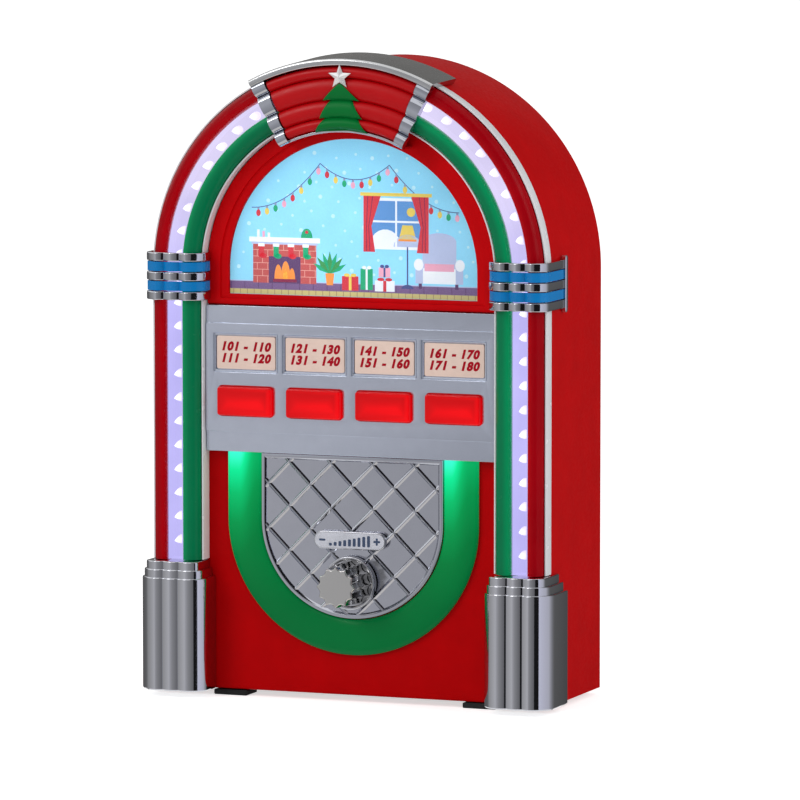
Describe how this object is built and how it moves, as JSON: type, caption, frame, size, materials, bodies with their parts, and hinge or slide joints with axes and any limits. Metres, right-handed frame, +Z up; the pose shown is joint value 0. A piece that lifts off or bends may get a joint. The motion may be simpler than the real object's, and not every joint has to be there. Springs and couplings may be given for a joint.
{
  "type": "tabletop jukebox",
  "caption": "Small arched tabletop jukebox with lit strips round its front, a picture window, a ribbed crown, push buttons, a diamond grille and a volume knob.",
  "frame": {"origin": "on the table, below the centre of the bounding box", "axes": "+X to the right as seen from the front, +Y to the back, +Z up"},
  "size_m": [0.155, 0.0686, 0.2286],
  "materials": {
    "red_plastic": "satin-gloss moulded red",
    "red_tube_plastic": "clear glossy red over a dark core",
    "green_tube_plastic": "glossy translucent green",
    "led_lens_plastic": "clear, frosted, lit lilac white",
    "guide_plastic": "glossy translucent green, lit at its upper ends",
    "chrome_plating": "bright plated plastic",
    "silver_paint": "satin silver paint",
    "blue_inlay": "satin blue",
    "crown_red": "satin red",
    "tree_green": "satin green",
    "star_silver": "bright silver",
    "card_paper": "matt cream card",
    "button_red": "translucent red",
    "clear_pane": "clear acrylic",
    "picture_paper": "printed film, lit from behind",
    "white_board": "white",
    "green_board": "green solder mask",
    "black_rubber": "matt",
    "steel": "bright zinc",
    "black_plastic": "matt black",
    "black_paper": "matt black paper",
    "cell_wrap": "plain printed sleeve, bare of words"
  },
  "bodies": {
    "cabinet": {"cabinet_shell": "red_plastic", "window_bezel": "red_plastic", "rear_cover": "red_plastic", "foot_front_left": "black_rubber", "foot_front_right": "black_rubber", "foot_rear_left": "black_rubber", "foot_rear_right": "black_rubber", "pillar_left": "chrome_plating", "pillar_right": "chrome_plating", "outer_trim": "chrome_plating", "inner_trim": "chrome_plating", "crown_frame": "chrome_plating", "band_left": "chrome_plating", "band_right": "chrome_plating", "volume_label": "chrome_plating", "knob_ring": "chrome_plating", "red_tube": "red_tube_plastic", "green_tube": "green_tube_plastic", "led_lens": "led_lens_plastic", "led_board": "white_board", "window_backlight": "white_board", "window_pane": "clear_pane", "window_picture": "picture_paper", "crown_panel": "crown_red", "crown_tree": "tree_green", "crown_star": "star_silver", "band_inlay_lower_left": "blue_inlay", "band_inlay_upper_left": "blue_inlay", "band_inlay_lower_right": "blue_inlay", "band_inlay_upper_right": "blue_inlay", "selector_panel": "silver_paint", "grille": "silver_paint", "title_card_1": "card_paper", "title_card_2": "card_paper", "title_card_3": "card_paper", "title_card_4": "card_paper", "switch_board": "green_board", "main_board": "green_board", "light_guide": "guide_plastic", "potentiometer": "steel", "spring_contacts": "steel", "flat_contacts": "steel", "speaker_basket": "steel", "power_housing": "steel", "cover_screw_lower_left": "steel", "cover_screw_upper_left": "steel", "cover_screw_lower_right": "steel", "cover_screw_upper_right": "steel", "battery_cell_1": "cell_wrap", "battery_cell_2": "cell_wrap", "battery_cell_3": "cell_wrap", "speaker_cone": "black_paper"},
    "volume_knob": {"volume_knob": "chrome_plating"},
    "battery_door": {"battery_door": "red_plastic"},
    "power_slider": {"power_slider": "black_plastic"},
    "button_1": {"select_button_1": "button_red"},
    "button_2": {"select_button_2": "button_red"},
    "button_3": {"select_button_3": "button_red"},
    "button_4": {"select_button_4": "button_red"}
  },
  "joints": [
    {"name": "knob_turn", "type": "hinge", "parent": "cabinet", "child": "volume_knob", "pos_m": [0, -0.02, 0.04268], "axis": [0, 1, 0], "range_deg": [-150, 150]},
    {"name": "door_swing", "type": "hinge", "parent": "cabinet", "child": "battery_door", "pos_m": [0, 0.03339, 0.0691], "axis": [1, 0, 0], "range_deg": [0, 90]},
    {"name": "power_slide", "type": "slide", "parent": "cabinet", "child": "power_slider", "axis": [1, 0, 0], "range_m": [0, 0.004]},
    {"name": "button_press_1", "type": "slide", "parent": "cabinet", "child": "button_1", "axis": [0, 1, 0], "range_m": [0, 0.0015], "stiffness_N_per_m": 400, "springref_m": -0.0005},
    {"name": "button_press_2", "type": "slide", "parent": "cabinet", "child": "button_2", "axis": [0, 1, 0], "range_m": [0, 0.0015], "stiffness_N_per_m": 400, "springref_m": -0.0005},
    {"name": "button_press_3", "type": "slide", "parent": "cabinet", "child": "button_3", "axis": [0, 1, 0], "range_m": [0, 0.0015], "stiffness_N_per_m": 400, "springref_m": -0.0005},
    {"name": "button_press_4", "type": "slide", "parent": "cabinet", "child": "button_4", "axis": [0, 1, 0], "range_m": [0, 0.0015], "stiffness_N_per_m": 400, "springref_m": -0.0005}
  ]
}
